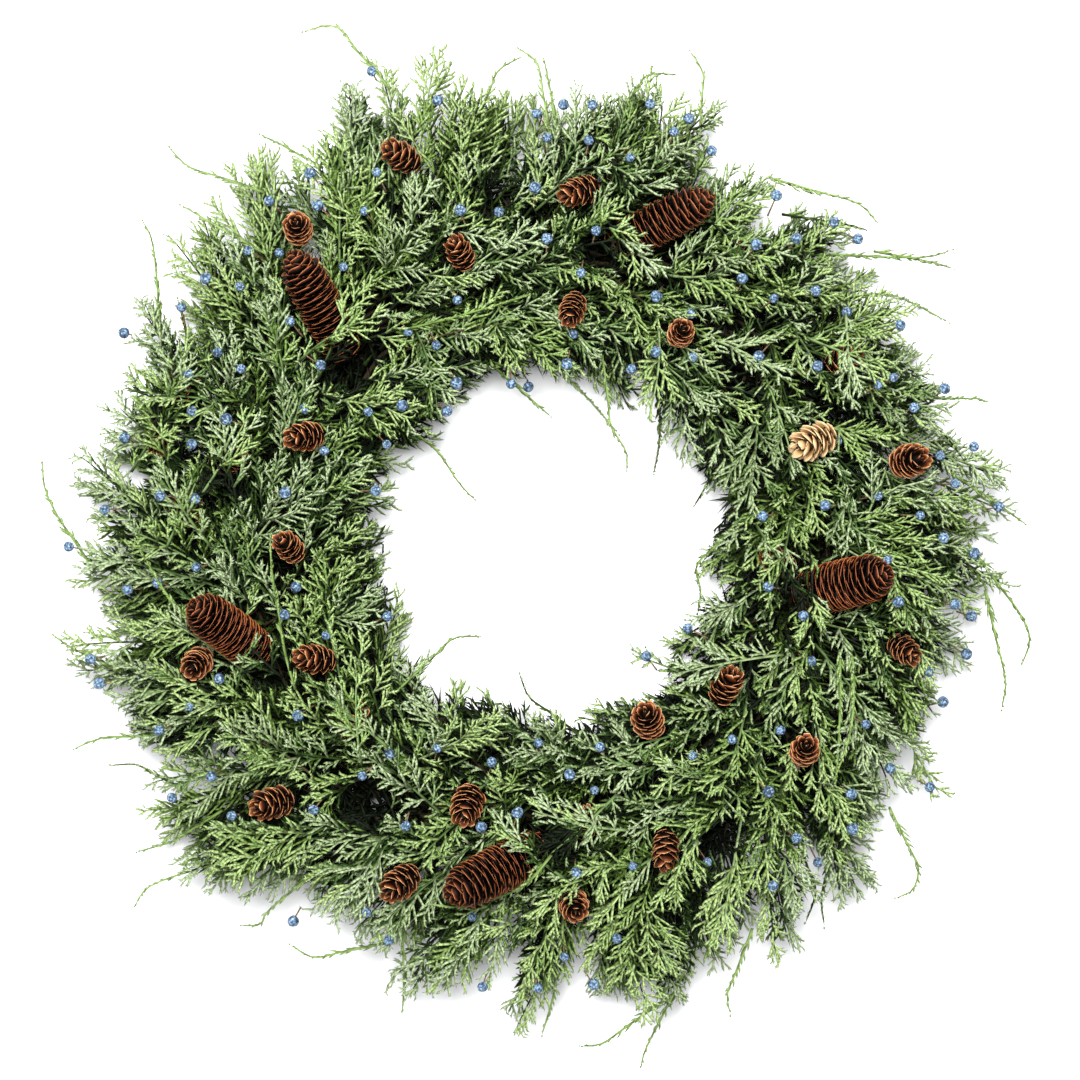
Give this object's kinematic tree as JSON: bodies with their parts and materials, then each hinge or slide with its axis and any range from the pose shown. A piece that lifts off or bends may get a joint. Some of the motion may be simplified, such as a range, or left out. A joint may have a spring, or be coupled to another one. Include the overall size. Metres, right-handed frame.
{
  "type": "fresh evergreen wreath",
  "caption": "Round fresh juniper wreath with an open middle, blue berries and brown spruce cones, bound on a wire ring and lying flat.",
  "frame": {"origin": "middle of the wreath's ring, on the surface that its back lies on", "axes": "+Z out of the wreath's front, +Y towards the top of the wreath as it would hang, +X to its right seen from the front"},
  "size_m": [0.5963, 0.6177, 0.1155],
  "materials": {
    "juniper": "matte",
    "berry": "matte",
    "twig": "matte",
    "large_cone": "satin",
    "small_cone": "satin",
    "pale_cone": "satin",
    "floral_tape": "matte",
    "frame_wire": "satin",
    "binding_wire": "satin"
  },
  "bodies": {
    "root": {"ring_frame": "frame_wire", "binding_wire": "binding_wire", "bunch_01": "juniper", "bunch_02": "juniper", "bunch_03": "juniper", "bunch_04": "juniper", "bunch_05": "juniper", "bunch_06": "juniper", "bunch_07": "juniper", "bunch_08": "juniper", "bunch_09": "juniper", "bunch_10": "juniper", "bunch_11": "juniper", "bunch_12": "juniper", "bunch_13": "juniper", "bunch_14": "juniper", "bunch_15": "juniper", "bunch_16": "juniper", "bunch_17": "juniper", "bunch_18": "juniper", "bunch_19": "juniper", "bunch_20": "juniper", "large_cone_1": "large_cone", "large_cone_2": "large_cone", "large_cone_3": "large_cone", "large_cone_4": "large_cone", "large_cone_5": "large_cone", "small_cone_01": "small_cone", "small_cone_02": "small_cone", "small_cone_03": "small_cone", "small_cone_04": "small_cone", "small_cone_05": "small_cone", "small_cone_06": "small_cone", "small_cone_07": "small_cone", "small_cone_08": "small_cone", "small_cone_09": "small_cone", "small_cone_10": "small_cone", "small_cone_11": "small_cone", "small_cone_12": "small_cone", "small_cone_13": "small_cone", "small_cone_14": "small_cone", "small_cone_15": "small_cone", "small_cone_16": "small_cone", "small_cone_17": "small_cone", "small_cone_18": "small_cone", "small_cone_19": "small_cone", "small_cone_20": "small_cone", "small_cone_21": "small_cone", "small_cone_22": "small_cone", "small_cone_23": "small_cone", "small_cone_24": "small_cone", "small_cone_25": "small_cone", "small_cone_26": "pale_cone", "small_cone_27": "small_cone", "small_cone_28": "small_cone", "small_cone_29": "small_cone", "small_cone_30": "small_cone", "small_cone_31": "small_cone", "cone_stem": "floral_tape"}
  },
  "joints": []
}
